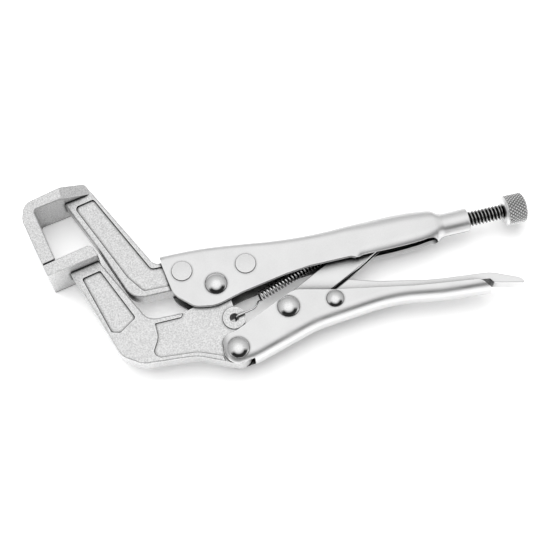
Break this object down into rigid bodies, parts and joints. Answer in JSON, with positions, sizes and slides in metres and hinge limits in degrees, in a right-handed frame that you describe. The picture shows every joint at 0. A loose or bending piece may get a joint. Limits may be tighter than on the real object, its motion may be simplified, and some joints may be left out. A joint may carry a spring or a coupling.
{
  "type": "locking c clamp",
  "caption": "Locking pliers with a square C-shaped upper jaw that closes on a flat lower jaw, an adjusting screw in the upper handle, an over-centre link and a release lever.",
  "frame": {"origin": "middle of the clamp's bounding box; the lower jaw's pivot is at (-38.0, -13.1, 0) mm from it", "axes": "+X along the adjusting screw towards its knob, +Y across the handles towards the upper handle, +Z square to the plane the jaws swing in"},
  "size_m": [0.2488, 0.1105, 0.025],
  "materials": {
    "forged_plate": "blasted forging under matt nickel plate",
    "handle_plate": "satin nickel plate",
    "rivet_plate": "polished nickel plate",
    "screw_steel": "bright plated steel",
    "spring_steel": "plated spring wire"
  },
  "bodies": {
    "fixed_handle": {"upper_handle": "handle_plate", "upper_jaw": "forged_plate", "front_jaw_rivet": "rivet_plate", "rear_jaw_rivet": "rivet_plate", "jaw_pivot_rivet": "rivet_plate", "tension_spring": "spring_steel"},
    "moving_jaw": {"lower_jaw": "forged_plate", "handle_pivot_rivet": "rivet_plate"},
    "moving_handle": {"lower_handle": "handle_plate", "link_rivet": "rivet_plate", "lever_rivet": "rivet_plate"},
    "link": {"toggle_link": "handle_plate"},
    "lever": {"release_lever": "handle_plate"},
    "screw": {"adjusting_screw": "screw_steel"},
    "knob": {"adjusting_knob": "screw_steel"}
  },
  "joints": [
    {"name": "jaw_swing", "type": "hinge", "parent": "fixed_handle", "child": "moving_jaw", "pos_m": [-0.03803, -0.01312, 0], "axis": [0, 0, 1], "range_deg": [0, 22], "deforming": ["tension_spring"]},
    {"name": "handle_swing", "type": "hinge", "parent": "moving_jaw", "child": "moving_handle", "pos_m": [-0.03493, -0.04782, 0], "axis": [0, 0, 1], "range_deg": [-64, 0]},
    {"name": "link_swing", "type": "hinge", "parent": "moving_handle", "child": "link", "pos_m": [-0.00623, -0.03312, 0], "axis": [0, 0, 1], "range_deg": [0, 67]},
    {"name": "lever_press", "type": "hinge", "parent": "moving_handle", "child": "lever", "pos_m": [0.01697, -0.03472, 0], "axis": [0, 0, 1], "range_deg": [-2, 0]},
    {"name": "screw_travel", "type": "slide", "parent": "fixed_handle", "child": "screw", "axis": [1, 0, 0], "range_m": [0, 0.012]},
    {"name": "knob_turn", "type": "hinge", "parent": "screw", "child": "knob", "pos_m": [0.11277, -0.00762, 0], "axis": [1, 0, 0], "range_deg": [0, 2400]}
  ],
  "couplings": [
    {"joint": "handle_swing", "follows": "jaw_swing", "ratio": -2.9},
    {"joint": "link_swing", "follows": "jaw_swing", "ratio": 3.04},
    {"joint": "knob_turn", "follows": "screw_travel", "rad_per_m": 3490.7}
  ]
}
